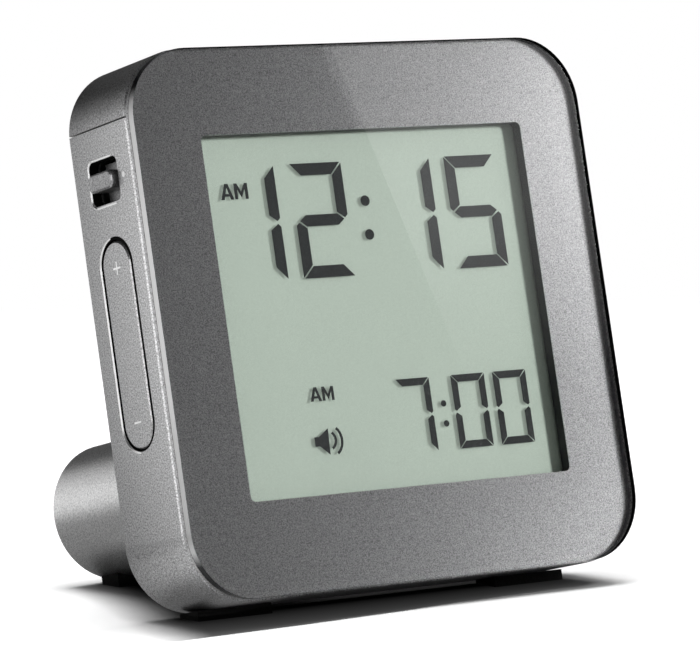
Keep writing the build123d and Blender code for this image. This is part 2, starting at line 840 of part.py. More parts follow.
# Saddle on the side board that carries the pin of the rocker
ear_inner = rocker_lug_w / 2 + saddle_gap
ear_outer = ear_inner + saddle_ear
saddle_top = pin_x - rocker_pin_r - saddle_gap
saddle_floor = side_face - saddle_base_t
with BuildPart() as rocker_saddle:
    with BuildSketch(side_plane(side_face)):
        with Locations((side_mid, rocker_up)):
            Rectangle(2 * ear_outer, rocker_lug_h)
    extrude(amount=saddle_top - side_face)
    with BuildSketch(side_plane(saddle_floor)):
        with Locations((side_mid, rocker_up)):
            Rectangle(2 * ear_inner, rocker_lug_h)
    extrude(amount=saddle_top - saddle_floor, mode=Mode.SUBTRACT)
    with BuildSketch(depth_plane(side_mid)):
        with Locations((pin_x, rocker_up)):
            Circle(rocker_pin_r)
    extrude(amount=rocker_w, both=True, mode=Mode.SUBTRACT)
rocker_saddle.part.label = "rocker_saddle"
export_step(rocker_saddle.part, "parts/rocker_saddle.step")

# Pin of the rocker
with BuildPart() as rocker_pin:
    with BuildSketch(depth_plane(side_mid - ear_outer)):
        with Locations((pin_x, rocker_up)):
            Circle(rocker_pin_r)
    extrude(amount=-2 * ear_outer)
rocker_pin.part.label = "rocker_pin"
export_step(rocker_pin.part, "parts/rocker_pin.step")

# Push switches under the two ends of the rocker
nib_end = -case_half + rocker_t + nib_len
tact_top = nib_end + nib_room
for label, up in (("plus_tact", rocker_up + nib_offset), ("minus_tact", rocker_up - nib_offset)):
    with BuildPart() as side_tact:
        with BuildSketch(side_plane(side_face)):
            with Locations((side_mid, up)):
                Rectangle(side_tact_size, side_tact_size)
        extrude(amount=tact_top + plunger_len - side_face)
        with BuildSketch(side_plane(tact_top)):
            with Locations((side_mid, up)):
                Circle(plunger_r)
        extrude(amount=plunger_len)
    side_tact.part.label = label
    export_step(side_tact.part, f"parts/{label}.step")

# Alarm switch on the board and its knob in the rear cover
alarm_rest = alarm_x + alarm_travel / 2
plate_back = cover_front - slide_gap
with BuildPart() as alarm_knob:
    with BuildSketch(depth_plane(plate_back)):
        with Locations((alarm_rest, alarm_up)):
            Rectangle(2 * alarm_stub + alarm_travel, 2 * alarm_stub)
    extrude(amount=alarm_plate_t)
    with BuildSketch(depth_plane(plate_back)):
        with Locations((alarm_rest, alarm_up)):
            Rectangle(alarm_stub, alarm_stub)
    extrude(amount=-(slide_gap + case_wall + alarm_proud))
    chamfer(alarm_knob.faces().sort_by(depth_axis)[-1].edges(), edge_soft)
alarm_knob.part.label = "alarm_knob"
export_step(alarm_knob.part, "parts/alarm_knob.step")

with BuildPart() as alarm_switch:
    with BuildSketch(depth_plane(board_back)):
        with Locations((alarm_x, alarm_up)):
            Rectangle(3 * alarm_stub + alarm_travel, 2 * alarm_stub)
    extrude(amount=board_back - plate_back + alarm_plate_t + slide_gap)
alarm_switch.part.label = "alarm_switch"
export_step(alarm_switch.part, "parts/alarm_switch.step")

# Button in the rear cover that starts a search for the time signal, and its push switch
flange_back = cover_front - slide_gap
with BuildPart() as sync_button:
    with BuildSketch(depth_plane(flange_back)):
        with Locations((sync_x, alarm_up)):
            Circle(sync_r + sync_flange)
    extrude(amount=sync_flange_t)
    with BuildSketch(depth_plane(flange_back)):
        with Locations((sync_x, alarm_up)):
            Circle(sync_r)
    extrude(amount=-(slide_gap + case_wall))
    chamfer(sync_button.faces().sort_by(depth_axis)[-1].edges(), edge_soft)
sync_button.part.label = "sync_button"
export_step(sync_button.part, "parts/sync_button.step")

sync_plunger = flange_back - sync_flange_t - sync_travel - fit
with BuildPart() as sync_tact:
    with BuildSketch(depth_plane(board_back)):
        with Locations((sync_x, alarm_up)):
            Rectangle(sync_tact_size, sync_tact_size)
    extrude(amount=board_back + plunger_len - sync_plunger)
    with BuildSketch(depth_plane(sync_plunger)):
        with Locations((sync_x, alarm_up)):
            Circle(plunger_r)
    extrude(amount=plunger_len)
sync_tact.part.label = "sync_tact"
export_step(sync_tact.part, "parts/sync_tact.step")

# Buzzer on the inside of the rear cover, behind the sound slits
with BuildPart() as buzzer:
    with BuildSketch(depth_plane(cover_front)):
        with Locations((buzzer_x, buzzer_up)):
            Circle(buzzer_r)
    extrude(amount=buzzer_t)
    with BuildSketch(depth_plane(cover_front)):
        with Locations((buzzer_x, buzzer_up)):
            Circle(buzzer_r - buzzer_wall)
    extrude(amount=buzzer_t - buzzer_wall, mode=Mode.SUBTRACT)
buzzer.part.label = "buzzer"
export_step(buzzer.part, "parts/buzzer.step")

# Aerial: a ferrite rod in the cradles of the rear cover, with its coil
rod_depth = (cover_front + board_back) / 2
with BuildPart() as ferrite_rod:
    with BuildSketch(level_plane(rod_up)):
        with Locations((rod_x, rod_depth)):
            Circle(rod_r)
    extrude(amount=rod_len / 2, both=True)
ferrite_rod.part.label = "ferrite_rod"
export_step(ferrite_rod.part, "parts/ferrite_rod.step")

with BuildPart() as aerial_coil:
    with BuildSketch(level_plane(rod_up)):
        with Locations((rod_x, rod_depth)):
            Circle(coil_r)
            Circle(rod_r, mode=Mode.SUBTRACT)
    extrude(amount=coil_len / 2, both=True)
aerial_coil.part.label = "aerial_coil"
export_step(aerial_coil.part, "parts/aerial_coil.step")

# Clock chip under its drop of resin, and the quartz can beside it
chip_x = tube_x + chip_side
chip_up = tube_up + chip_rise
quartz_up = tube_up + quartz_rise
with BuildPart() as clock_chip:
    with BuildSketch(depth_plane(board_back)):
        with Locations((chip_x, chip_up)):
            Circle(chip_r)
    extrude(amount=-chip_t)
    chamfer(clock_chip.faces().sort_by(depth_axis)[-1].edges(), chip_t - edge_soft)
clock_chip.part.label = "clock_chip"
export_step(clock_chip.part, "parts/clock_chip.step")

with BuildPart() as quartz_can:
    with BuildSketch(side_plane(chip_x)):
        with Locations((board_back + quartz_r, quartz_up)):
            Circle(quartz_r)
    extrude(amount=quartz_len)
quartz_can.part.label = "quartz_can"
export_step(quartz_can.part, "parts/quartz_can.step")
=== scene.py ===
import math

import bmesh
import bpy
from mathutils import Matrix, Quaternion, Vector


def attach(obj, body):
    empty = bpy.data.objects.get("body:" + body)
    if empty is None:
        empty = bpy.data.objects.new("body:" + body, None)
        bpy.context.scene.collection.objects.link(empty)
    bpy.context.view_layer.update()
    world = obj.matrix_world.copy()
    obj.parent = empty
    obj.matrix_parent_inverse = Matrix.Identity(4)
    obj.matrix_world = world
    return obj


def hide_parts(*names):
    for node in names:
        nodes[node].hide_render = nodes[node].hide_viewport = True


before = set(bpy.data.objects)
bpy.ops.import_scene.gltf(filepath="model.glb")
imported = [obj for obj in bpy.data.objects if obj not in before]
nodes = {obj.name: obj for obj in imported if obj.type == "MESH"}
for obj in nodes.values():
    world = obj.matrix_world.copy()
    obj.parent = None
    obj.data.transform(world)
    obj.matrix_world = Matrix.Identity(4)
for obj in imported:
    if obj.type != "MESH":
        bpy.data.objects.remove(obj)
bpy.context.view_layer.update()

# Face frame in millimetres: x to the right, depth behind the lens, up along the face
MM = 0.001
FACE = Vector((0.45, -22.024, 40.721))
RIGHT = Vector((1.0, 0.0, 0.0))
UP = Vector((0.0, 0.203543, 0.979066))
BACK = Vector((0.0, 0.979066, -0.203543))
FACE_DEPTH = FACE.dot(BACK)

# Case: half its width, the depth of its back, and the depth of the middle of its side controls
CASE_HALF = 37.7
CASE_BACK = 17.0
SIDE_MID = 9.2


def at(x, depth, up):
    """Place in metres of a point given in the face frame."""
    return (FACE + RIGHT * x + BACK * depth + UP * up) * MM


# Shader nodes
def new_material(name):
    """Material with an empty node tree and its output node."""
    mat = bpy.data.materials.new(name)
    mat.use_nodes = True
    mat.node_tree.nodes.clear()
    return mat, mat.node_tree, mat.node_tree.nodes.new("ShaderNodeOutputMaterial")


def add(tree, kind, sockets=None, **settings):
    """New node: settings are its own properties, sockets are values or links of its inputs."""
    node = tree.nodes.new(kind)
    for key, value in settings.items():
        setattr(node, key, value)
    for key, value in (sockets or {}).items():
        if isinstance(value, bpy.types.NodeSocket):
            tree.links.new(value, node.inputs[key])
        else:
            node.inputs[key].default_value = value
    return node


def grey(value):
    """Grey of one value in all channels."""
    return (value, value, value, 1.0)


def tinted(colour, share):
    """Colour made darker or lighter, held below white."""
    return tuple(min(1.0, c * share) for c in colour) + (1.0,)


def object_coords(tree):
    """Coordinates of the object, in metres."""
    return add(tree, "ShaderNodeTexCoord").outputs["Object"]


def noise(tree, coords, scale, detail=2.0):
    """Cloudy noise, scale being its patches in a metre."""
    sockets = {"Vector": coords, "Scale": scale, "Detail": detail, "Roughness": 0.5}
    return add(tree, "ShaderNodeTexNoise", sockets).outputs["Fac"]


def calc(tree, operation, *values, clamp=False):
    """Result of a sum, product or other step on plain numbers."""
    return add(tree, "ShaderNodeMath", dict(enumerate(values)), operation=operation, use_clamp=clamp).outputs[0]


def along(tree, vector, axis):
    """How far a vector reaches along an axis."""
    return add(tree, "ShaderNodeVectorMath", {0: vector, 1: axis}, operation="DOT_PRODUCT").outputs["Value"]


def span(tree, value, low, high, to_low, to_high):
    """Maps low..high to to_low..to_high, clamped."""
    sockets = {"Value": value, 1: low, 2: high, 3: to_low, 4: to_high}
    return add(tree, "ShaderNodeMapRange", sockets, clamp=True).outputs["Result"]


def ramp(tree, fac, stops):
    """Colour ramp through (place, colour) stops."""
    node = add(tree, "ShaderNodeValToRGB", {"Fac": fac})
    first, last = node.color_ramp.elements
    first.position, first.color = stops[0]
    last.position, last.color = stops[-1]
    for place, colour in stops[1:-1]:
        node.color_ramp.elements.new(place).color = colour
    return node.outputs["Color"]


def mixed_colour(tree, share, first, second, blend="MIX"):
    """Second colour over the first by a share."""
    sockets = {"Factor": share, 6: first, 7: second}
    return add(tree, "ShaderNodeMix", sockets, data_type="RGBA", blend_type=blend).outputs[2]


def mixed_shader(tree, share, first, second):
    """Second shader in place of the first by a share."""
    return add(tree, "ShaderNodeMixShader", {0: share, 1: first, 2: second}).outputs[0]


def summed_shader(tree, first, second):
    return add(tree, "ShaderNodeAddShader", {0: first, 1: second}).outputs[0]


def clear(tree, colour):
    return add(tree, "ShaderNodeBsdfTransparent", {"Color": colour}).outputs[0]


def mirror(tree, rough):
    return add(tree, "ShaderNodeBsdfGlossy", {"Color": grey(1.0), "Roughness": rough}).outputs[0]


def matt(tree, colour):
    return add(tree, "ShaderNodeBsdfDiffuse", {"Color": colour}).outputs[0]


def glow(tree, colour, strength):
    return add(tree, "ShaderNodeEmission", {"Color": colour, "Strength": strength}).outputs[0]


# Materials of the clock: the values that most noise lies between, and the roughness of paint
NOISE_LOW, NOISE_HIGH = 0.3, 0.7
PAINT_ROUGH = 0.34


def grained(name, colour, spread, grain, metallic, rough, bump, coat=0.0, specular=0.5, shade=None):
    """Principled surface with a fine grain in colour, roughness and relief, and a slow drift in tone.

    shade is an axis with two places along it in millimetres and the tone at each: painted light and shade
    multiplied into the colour."""
    drift_scale, drift_tone = 45.0, 0.97
    rough_from, rough_to, rough_spread = 0.25, 0.75, 0.04
    grain_detail, relief_height = 1.0, 0.02 * MM
    mat, tree, out = new_material(name)
    coords = object_coords(tree)
    fine = noise(tree, coords, grain, grain_detail)
    slow = noise(tree, coords, drift_scale)
    dark, light = tinted(colour, 1.0 - spread), tinted(colour, 1.0 + spread)
    tone = ramp(tree, fine, [(NOISE_LOW, dark), (NOISE_HIGH, light)])
    drift = ramp(tree, slow, [(NOISE_LOW, grey(drift_tone)), (NOISE_HIGH, grey(1.0))])
    # painted light and shade: a tone along an axis multiplied into the colour
    if shade:
        axis, low, high, tone_low, tone_high = shade
        level = span(tree, along(tree, coords, axis), low * MM, high * MM, tone_low, tone_high)
        drift = mixed_colour(tree, 1.0, drift, level, "MULTIPLY")
    relief = add(tree, "ShaderNodeBump", {"Height": fine, "Strength": bump, "Distance": relief_height})
    sockets = {
        "Base Color": mixed_colour(tree, 1.0, tone, drift, "MULTIPLY"),
        "Metallic": metallic,
        "Roughness": span(tree, fine, rough_from, rough_to, rough - rough_spread, rough + rough_spread),
        "Normal": relief.outputs["Normal"],
        "Specular IOR Level": specular,
        "Coat Weight": coat,
        "Coat Roughness": 0.03,
        "Coat IOR": 1.8,
    }
    surface = add(tree, "ShaderNodeBsdfPrincipled", sockets)
    tree.links.new(surface.outputs["BSDF"], out.inputs["Surface"])
    return mat


def lens_material():
    """Clear front: gloss on the flat face, painted light and shade on the outer edge, and a painted reflection
    on the edge seen from inside.
    """
    pane_facing, flat_facing = 0.6, 0.995
    acrylic_ior, edge_grain = 1.49, 3000.0
    upright_weight, turn = -2.5, 0.3
    rim_painted_shade, rim_painted_light = 0.02, 0.75
    painted_grey_from, painted_grey_to = (FACE_DEPTH + 1.0) * MM, (FACE_DEPTH + 1.1) * MM
    mat, tree, out = new_material("lens_front")
    geometry = add(tree, "ShaderNodeNewGeometry").outputs
    coords = object_coords(tree)
    fine = noise(tree, coords, edge_grain)
    # flat face: clear, with both sides of the pane in one gloss
    facing = calc(tree, "ABSOLUTE", along(tree, geometry["True Normal"], BACK))
    is_pane = calc(tree, "GREATER_THAN", facing, pane_facing)
    is_flat = calc(tree, "GREATER_THAN", facing, flat_facing)
    outward = calc(tree, "SUBTRACT", 1.0, geometry["Backfacing"])
    fresnel = add(tree, "ShaderNodeFresnel", {"IOR": acrylic_ior}).outputs[0]
    both_sides = calc(tree, "MULTIPLY", calc(tree, "MULTIPLY", fresnel, 2.0), is_flat)
    share = calc(tree, "MULTIPLY", both_sides, outward, clamp=True)
    pane = mixed_shader(tree, share, clear(tree, grey(1.0)), mirror(tree, 0.0))
    # outer edge: painted light and shade, bright on its left and right sides, dark above and below
    sideways = calc(tree, "ABSOLUTE", along(tree, geometry["Normal"], RIGHT))
    upright = calc(tree, "ABSOLUTE", along(tree, geometry["Normal"], UP))
    lean = calc(tree, "MULTIPLY_ADD", upright, upright_weight, sideways)
    sockets = {
        "Base Color": span(tree, lean, -turn, turn, rim_painted_shade, rim_painted_light),
        "Metallic": 0.7,
        "Roughness": span(tree, fine, NOISE_LOW, NOISE_HIGH, 0.12, 0.2),
    }
    rim = add(tree, "ShaderNodeBsdfPrincipled", sockets).outputs[0]
    # edge seen through the pane: a painted reflection, black near the front, then speckled grey like the case
    # paint further back
    deep = span(tree, along(tree, coords, BACK), painted_grey_from, painted_grey_to, 0.03, 1.0)
    speck = span(tree, fine, NOISE_LOW, NOISE_HIGH, 0.06, 0.3)
    inside = matt(tree, calc(tree, "MULTIPLY", deep, speck))
    edge = mixed_shader(tree, geometry["Backfacing"], rim, inside)
    tree.links.new(mixed_shader(tree, is_pane, edge, pane), out.inputs["Surface"])
    return mat


def clear_material(name, colour):
    """Thin clear glass that lets lamps through, with a slight tint and gloss."""
    smear_scale, least, most, gloss_rough = 300.0, 0.006, 0.014, 0.25
    mat, tree, out = new_material(name)
    smear = span(tree, noise(tree, object_coords(tree), smear_scale), NOISE_LOW, NOISE_HIGH, least, most)
    glass = mixed_shader(tree, smear, clear(tree, colour), mirror(tree, gloss_rough))
    tree.links.new(glass, out.inputs["Surface"])
    return mat


def banded_material(name, axis, scale, low, high, metallic, rough):
    """Fine bands across an axis, such as the turns of a coil."""
    mat, tree, out = new_material(name)
    turns = calc(tree, "MULTIPLY", along(tree, object_coords(tree), axis), scale)
    height = span(tree, calc(tree, "SINE", turns), -1.0, 1.0, 0.0, 1.0)
    relief = add(tree, "ShaderNodeBump", {"Height": height, "Strength": 0.6, "Distance": 0.06 * MM})
    sockets = {
        "Base Color": ramp(tree, height, [(0.0, low), (1.0, high)]),
        "Metallic": metallic,
        "Roughness": rough,
        "Normal": relief.outputs["Normal"],
    }
    surface = add(tree, "ShaderNodeBsdfPrincipled", sockets)
    tree.links.new(surface.outputs["BSDF"], out.inputs["Surface"])
    return mat


def metal_paint(name, colour, spread, grain, metallic, bump, **extra):
    """Paint with metal flakes."""
    return grained(name, colour, spread, grain, metallic, PAINT_ROUGH, bump, **extra)


def dull(name, colour, spread, grain, rough, bump, **extra):
    """Surface without metal."""
    return grained(name, colour, spread, grain, 0.0, rough, bump, **extra)


# Painted light and shade along an axis: the axis, two places in millimetres and the tone at each
# case paint brighter towards the front and darker towards the back: painted light and shade
CASE_PAINTED_SHADE = (BACK, FACE_DEPTH + 1.0, FACE_DEPTH + 16.0, 1.2, 0.72)
# knob darker where it lies deeper in its opening: painted shade
KNOB_PAINTED_SHADE = (RIGHT, -36.6, -36.2, 0.95, 0.85)
# front of the black frame's lip made grey, standing in for paint seen in the lens edge: painted reflection
FRAME_PAINTED_REFLECTION = (BACK, FACE_DEPTH + 1.52, FACE_DEPTH + 1.6, 12.0, 1.0)

# Paints: colour, spread of the grain, its scale, metallic share and relief
paint_case = metal_paint("paint_case", (0.47, 0.47, 0.475), 0.5, 4700.0, 0.95, 0.5, shade=CASE_PAINTED_SHADE)
paint_face = metal_paint("paint_face", (0.44, 0.44, 0.445), 0.4, 6000.0, 1.0, 0.26, coat=1.0)
# tube paint set lighter than the case paint, which brightens the highlight on the tube: painted light
paint_tube = metal_paint("paint_tube", (0.88, 0.88, 0.885), 0.4, 4700.0, 0.95, 0.5)
# knob paint set darker than the case paint: painted shade
paint_knob = metal_paint("paint_knob", (0.38, 0.38, 0.385), 0.45, 4700.0, 0.85, 0.4, shade=KNOB_PAINTED_SHADE)
# print of the marks, and the near-white beads round the side openings, a painted highlight
print_and_painted_highlight = metal_paint("print_and_painted_highlight", (0.93, 0.93, 0.93), 0.03, 5000.0, 1.0, 0.02)

# Surfaces without metal: colour, spread of the grain, its scale, roughness and relief
black_frame = dull("black_frame", (0.007, 0.007, 0.0075), 0.25, 3000.0, 0.55, 0.3, shade=FRAME_PAINTED_REFLECTION)
# black of the rings that stand for the shade in the gaps of the side openings: painted shade
painted_shade_black = dull("painted_shade_black", (0.006, 0.006, 0.006), 0.3, 3000.0, 0.8, 0.3, specular=0.06)
rubber = dull("rubber", (0.012, 0.012, 0.012), 0.3, 2600.0, 0.8, 0.6, specular=0.1)
lcd_reflector = dull("lcd_reflector", (0.462, 0.53, 0.468), 0.05, 4200.0, 0.55, 0.05, specular=0.2)
lcd_ink = dull("lcd_ink", (0.024, 0.026, 0.027), 0.15, 4200.0, 0.6, 0.05, specular=0.2)
guide_plastic = dull("guide_plastic", (0.82, 0.83, 0.8), 0.03, 2000.0, 0.4, 0.1)
board_green = dull("board_green", (0.02, 0.11, 0.04), 0.3, 1400.0, 0.35, 0.4)
part_black = dull("part_black", (0.025, 0.025, 0.027), 0.2, 3500.0, 0.45, 0.3)

# Others: colour, spread of the grain, its scale, metallic share, roughness and relief
cover_plastic = grained("cover_plastic", (0.2, 0.2, 0.205), 0.14, 4200.0, 0.3, 0.42, 0.5)
steel = grained("steel", (0.55, 0.55, 0.56), 0.1, 3800.0, 1.0, 0.3, 0.2)
ferrite = grained("ferrite", (0.05, 0.048, 0.046), 0.3, 2400.0, 0.2, 0.6, 0.5)

# Bands: axis, radians in a metre along it, the two colours, metallic share and roughness
# copper: darker in the grooves between turns, painted shade
copper = banded_material("copper_turns", UP, 21000.0, (0.25, 0.09, 0.03, 1), (0.75, 0.35, 0.16, 1), 0.9, 0.3)
zebra = banded_material("zebra_layers", RIGHT, 15000.0, grey(0.06), grey(0.35), 0.0, 0.7)
cell_skin = banded_material("cell_skin", BACK, 180.0, (0.07, 0.12, 0.2, 1), (0.3, 0.34, 0.38, 1), 0.5, 0.35)

# Clear pieces
lens_front = lens_material()
lcd_clear = clear_material("lcd_clear", (0.985, 0.995, 0.985, 1.0))
segment_tint = clear_material("segment_tint", grey(0.72))

LOOKS = {
    "front_lens": lens_front,
    "front_mask": paint_face,
    "front_frame": black_frame,
    "case_shell": paint_case,
    "snooze_bar": paint_case,
    "set_rocker": paint_case,
    "rear_cover": cover_plastic,
    "case_screws": steel,
    "battery_tube": paint_tube,
    "battery_cap": paint_tube,
    "cell_holder": part_black,
    "aaa_cell": cell_skin,
    "front_contact": steel,
    "tube_strip": steel,
    "cap_contact": steel,
    "foot_left": rubber,
    "foot_right": rubber,
    "foot_tube": rubber,
    "lcd_glass": lcd_reflector,
    "light_guide": guide_plastic,
    "zebra_strip": zebra,
    "main_board": board_green,
    "board_screws": steel,
    "backlight_led": guide_plastic,
    "snooze_tact": part_black,
    "side_board": board_green,
    "mode_switch": part_black,
    "mode_knob": paint_knob,
    "rocker_saddle": part_black,
    "rocker_pin": steel,
    "plus_tact": part_black,
    "minus_tact": part_black,
    "alarm_knob": part_black,
    "alarm_switch": part_black,
    "sync_button": part_black,
    "sync_tact": part_black,
    "buzzer": part_black,
    "ferrite_rod": ferrite,
    "aerial_coil": copper,
    "clock_chip": part_black,
    "quartz_can": steel,
}
for name, look in LOOKS.items():
    for slot in nodes[name].material_slots:
        slot.material = look


# Meshes: plates are flat outlines given a thickness, lofted solids run through loops of points
WELD = 1e-8
SHARP_EDGE = math.radians(30.0)


def make_object(name, bm, material):
    """Object in the scene from a finished bmesh."""
    mesh = bpy.data.meshes.new(name)
    bm.to_mesh(mesh)
    bm.free()
    obj = bpy.data.objects.new(name, mesh)
    bpy.context.collection.objects.link(obj)
    mesh.materials.append(material)
    return obj


def add_prism(bm, outline, place, near, far):
    """Closed prism of an outline between two offsets; place(a, b, offset) gives the point."""
    front = [bm.verts.new(place(a, b, near)) for a, b in outline]
    rear = [bm.verts.new(place(a, b, far)) for a, b in outline]
    bm.faces.new(front)
    bm.faces.new(list(reversed(rear)))
    for i in range(len(outline)):
        j = (i + 1) % len(outline)
        bm.faces.new((front[j], front[i], rear[i], rear[j]))


def plates(name, outlines, place, near, far, material):
    """One object of prisms, a prism for each outline."""
    bm = bmesh.new()
    for outline in outlines:
        add_prism(bm, outline, place, near, far)
    bmesh.ops.recalc_face_normals(bm, faces=bm.faces)
    return make_object(name, bm, material)


def lofted(name, loops, material, ring=False):
    """Closed solid through loops of equal count; a ring joins the last loop to the first."""
    bm = bmesh.new()
    rows = [[bm.verts.new(p) for p in loop] for loop in loops]
    pairs = list(zip(rows, rows[1:]))
    if ring:
        pairs.append((rows[-1], rows[0]))
    else:
        bm.faces.new(rows[0])
        bm.faces.new(list(reversed(rows[-1])))
    for near, far in pairs:
        for i in range(len(near)):
            j = (i + 1) % len(near)
            bm.faces.new((near[i], near[j], far[j], far[i]))
    bmesh.ops.remove_doubles(bm, verts=bm.verts, dist=WELD)
    bmesh.ops.recalc_face_normals(bm, faces=bm.faces)
    obj = make_object(name, bm, material)
    obj.data.shade_smooth()
    obj.data.set_sharp_from_angle(angle=SHARP_EDGE)
    return obj


def on_face(a, b, depth):
    """Point behind the face: a to the right, b up."""
    return at(a, depth, b)


def on_side(a, b, proud):
    """Point over the left side: a to the back, b up."""
    return at(-CASE_HALF - proud, a, b)


def rectangle(x0, x1, y0, y1):
    return [(x0, y0), (x1, y0), (x1, y1), (x0, y1)]


def arc(x, y, r, start, end, steps):
    """Points of an arc at even steps, both ends included."""
    angles = [start + (end - start) * i / steps for i in range(steps + 1)]
    return [(x + r * math.cos(q), y + r * math.sin(q)) for q in angles]


def disc(x, y, r, count=24):
    """Outline of a round dot."""
    return arc(x, y, r, 0.0, 2 * math.pi, count)[:-1]


def rounded(w, h, r, mid=(0.0, 0.0), count=16):
    """Outline of a rectangle with rounded corners."""
    outline = []
    for k, (sx, sy) in enumerate(((1, 1), (-1, 1), (-1, -1), (1, -1))):
        x, y = mid[0] + sx * (w / 2 - r), mid[1] + sy * (h / 2 - r)
        outline += arc(x, y, r, math.pi / 2 * k, math.pi / 2 * (k + 1), count)
    return outline


# Front lens, a hair clear of the film in its shallow pocket, and its bright seat, as depths and insets
LENS, LENS_R = 75.0, 9.5
LENS_PROFILE = ((0.0, 0.8), (0.0, 0.75), (0.05, 0.3), (0.2, 0.0), (1.49, 0.0), (1.49, 0.55), (1.38, 0.55))
SEAT_PROFILE = ((1.45, -0.05), (1.97, -0.05), (1.97, -0.01), (1.45, -0.01))


def lens_loop(depth, inset):
    """Outline of the lens at a depth, drawn in by an inset."""
    side = LENS - 2 * inset
    return [on_face(a, b, depth) for a, b in rounded(side, side, LENS_R - inset)]


lens = lofted("lens_pane", [lens_loop(*p) for p in LENS_PROFILE], lens_front)
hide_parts("front_lens")
seat = lofted("lens_seat", [lens_loop(*p) for p in SEAT_PROFILE], paint_case, ring=True)
for piece, slot in ((lens, "lens_clear"), (seat, "paint_silver")):
    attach(piece, "clock")

# Painted highlight beads and painted shade rings in the gaps of the side openings: offsets from the opening,
# then heights over the case
SLOT = dict(w=7.2, h=6.1, r=1.0, mid=(SIDE_MID, 21.2))
ROCKER = dict(w=7.6, h=28.9, r=3.8, mid=(SIDE_MID, -1.2))
# beads in near-white paint round each opening: painted highlight
PAINTED_HIGHLIGHT_PROFILE = (
    (0.42, -0.012, 0.0),
    (0.24, -0.012, 0.16),
    (0.2, -0.012, 0.16),
    (0.02, -0.012, 0.0),
    (0.3, -0.06, 0.0),
)
# black rings in the gaps and a crescent beside the rocker: painted shade and shadow
GAP_SHADE_PROFILE = ((-0.01, -0.2), (-0.1, -0.2), (-0.1, -0.7), (-0.01, -0.7))
SHADOW_CRESCENT_PROFILE = ((0.22, 0.015, (-0.23, 0.12)), (-0.03, 0.015), (-0.03, -0.6), (0.05, -0.6))
SLOT_SHADE_PROFILE = ((0.02, -0.06), (-0.08, -0.06), (-0.08, -1.4), (0.02, -1.4))


def side_loop(box, offset, proud, shift=(0.0, 0.0), bead=0.0):
    """Loop around a side opening; a bead rises on the rear half of the loop."""
    mid_a, mid_b = box["mid"]
    centre = (mid_a + shift[0], mid_b + shift[1])
    grown = rounded(box["w"] + 2 * offset, box["h"] + 2 * offset, box["r"] + offset, centre)
    bead_run = 0.4 * box["w"]
    loop = []
    for a, b in grown:
        share = max(0.0, min(1.0, (a - mid_a) / bead_run))
        loop.append(on_side(a, b, proud + bead * share))
    return loop


# bright rings round the openings: painted highlight
for name, box in (("slot_painted_highlight", SLOT), ("rocker_painted_highlight", ROCKER)):
    loops = [side_loop(box, offset, proud, bead=bead) for offset, proud, bead in PAINTED_HIGHLIGHT_PROFILE]
    highlight_ring = lofted(name, loops, print_and_painted_highlight, ring=True)
    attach(highlight_ring, "clock")
# black rings in the gaps of the openings: painted shade and shadow
for name, box, profile in (
    ("rocker_gap_painted_shade", ROCKER, GAP_SHADE_PROFILE),
    ("rocker_painted_shadow", ROCKER, SHADOW_CRESCENT_PROFILE),
    ("slot_gap_painted_shade", SLOT, SLOT_SHADE_PROFILE),
):
    shade_ring = lofted(name, [side_loop(box, *p) for p in profile], painted_shade_black, ring=True)
    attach(shade_ring, "clock")

# LCD segments: digits by foot, width, height, stroke and gap, then each digit with its left edge
BIG_DIGIT = dict(low=5.4, w=8.65, h=16.0, t=1.68, gap=0.16)
SMALL_DIGIT = dict(low=-19.85, w=5.75, h=10.37, t=1.03, gap=0.11)
TIME = (("1", -22.85), ("2", -11.6), ("1", 3.45), ("5", 14.7))
ALARM = (("7", 0.98), ("0", 10.5), ("0", 17.75))
DIGITS = {"0": "abcdef", "1": "bc", "2": "abged", "5": "afgcd", "7": "abc"}
COLONS = ((0.33, 15.75, 0.75), (0.28, 11.0, 0.75), (8.68, -13.34, 0.45), (8.7, -16.16, 0.45))
TIME_HALF_DAY = dict(x=-23.3, low=16.9, w=4.45, h=2.2)
ALARM_HALF_DAY = dict(x=-13.4, low=-11.55, w=3.95, h=1.95)
SOUND_BOX = (-13.65, -12.9, -17.75, -16.45)
SOUND_CONE = [(-12.9, -17.75), (-11.4, -18.98), (-11.28, -15.37), (-12.9, -16.45)]
SOUND_WAVES = (
    ((-10.72, -16.0), (-10.2, -17.07), (-10.88, -18.16)),
    ((-9.92, -15.43), (-9.17, -17.15), (-10.1, -18.92)),
)

# Depths of the layers of the LCD
FRONT_GLASS = (3.2, 3.78)
INK = (3.26, 3.3)
TINT = (3.31, 3.34)
REAR_GLASS = (3.8, 5.0)


def segment_outlines(w, h, t, gap):
    """Outlines of the seven segments of an upright digit, by letter."""
    k = t / BIG_DIGIT["t"]
    mid = h / 2
    upper = [
        (w, h - gap),
        (w - t, h - t - gap),
        (w - t, mid + 1.05 * k),
        (w - 0.45 * k, mid + 0.2 * k),
        (w, mid + 0.62 * k),
    ]
    top = [(gap, h), (w - gap, h), (w - t - gap, h - t), (t + gap, h - t)]
    tip, shoulder, half = 0.65 * k, 1.7 * k, 0.8 * k
    bar = [
        (tip, mid),
        (shoulder, mid + half),
        (w - shoulder, mid + half),
        (w - tip, mid),
        (w - shoulder, mid - half),
        (shoulder, mid - half),
    ]
    lower = [(x, h - y) for x, y in upper]
    return {
        "a": top,
        "b": upper,
        "c": lower,
        "d": [(x, h - y) for x, y in top],
        "e": [(w - x, y) for x, y in lower],
        "f": [(w - x, y) for x, y in upper],
        "g": bar,
    }


def digit(text, x, low, w, h, t, gap):
    """Outlines of the lit segments of a digit."""
    shapes = segment_outlines(w, h, t, gap)
    return [[(x + a, low + b) for a, b in shapes[s]] for s in DIGITS[text]]


